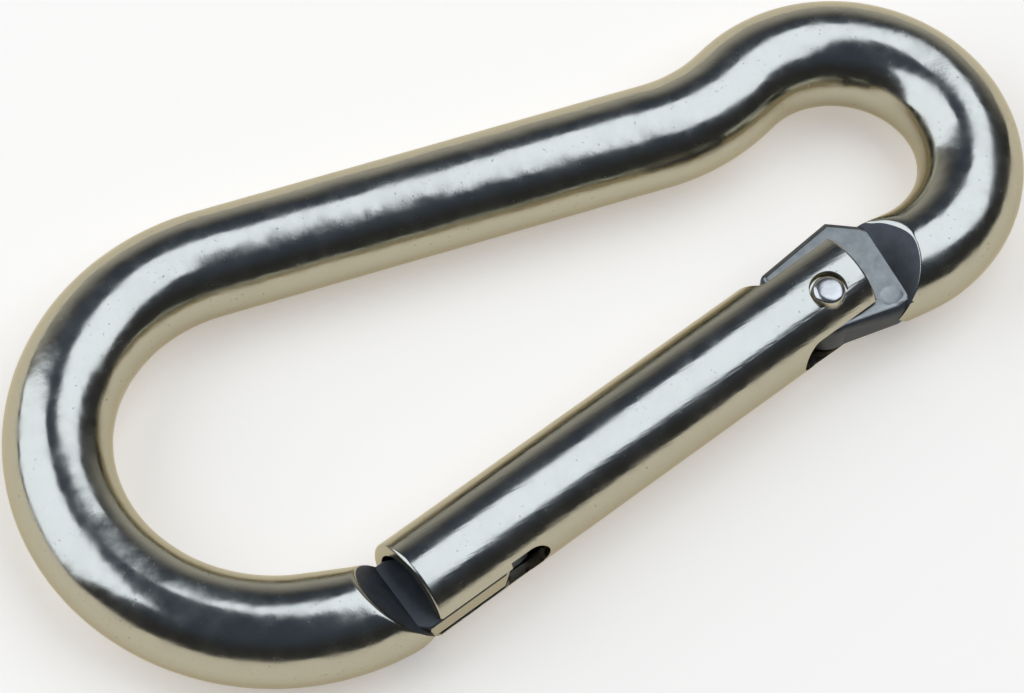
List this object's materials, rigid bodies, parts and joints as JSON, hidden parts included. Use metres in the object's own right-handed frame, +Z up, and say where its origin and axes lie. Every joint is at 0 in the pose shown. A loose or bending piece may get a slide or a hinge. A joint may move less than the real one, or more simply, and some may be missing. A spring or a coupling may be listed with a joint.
{
  "type": "spring snap hook",
  "caption": "Pear-shaped spring snap hook bent from polished round bar, with a sprung tube gate that swings inwards on a pin and catches on a T-shaped nose.",
  "frame": {"origin": "on the surface the hook lies on, below the middle of its outline", "axes": "+X along the hook from the big bow to the small bow, +Y from the gate to the back, +Z up, square to the plane of the loop"},
  "size_m": [0.082, 0.0392, 0.008],
  "materials": {
    "polished_bar": "polished stainless steel with fine pits, duller on the forged ends",
    "polished_tube": "polished stainless steel tube with fine drawing lines",
    "pin_steel": "riveted stainless pin, domed and bright at its ends",
    "spring_wire": "drawn spring wire",
    "plunger_steel": "turned stainless"
  },
  "bodies": {
    "hook": {"hook_body": "polished_bar"},
    "gate": {"gate_sleeve": "polished_tube", "hinge_pin": "pin_steel", "return_spring": "spring_wire"},
    "plunger": {"plunger": "plunger_steel"}
  },
  "joints": [
    {"name": "gate_hinge", "type": "hinge", "parent": "hook", "child": "gate", "pos_m": [0.0189, -0.01074, 0.004], "axis": [0, 0, -1], "range_deg": [0, 25], "stiffness_Nm_per_rad": 0.1, "springref_deg": -28.65},
    {"name": "plunger_slide", "type": "slide", "parent": "gate", "child": "plunger", "axis": [-0.9873, -0.1588, 0], "range_m": [0, 0.00105], "deforming": ["return_spring"]}
  ],
  "couplings": [
    {"joint": "plunger_slide", "follows": "gate_hinge", "m_per_rad": 0.0024}
  ]
}
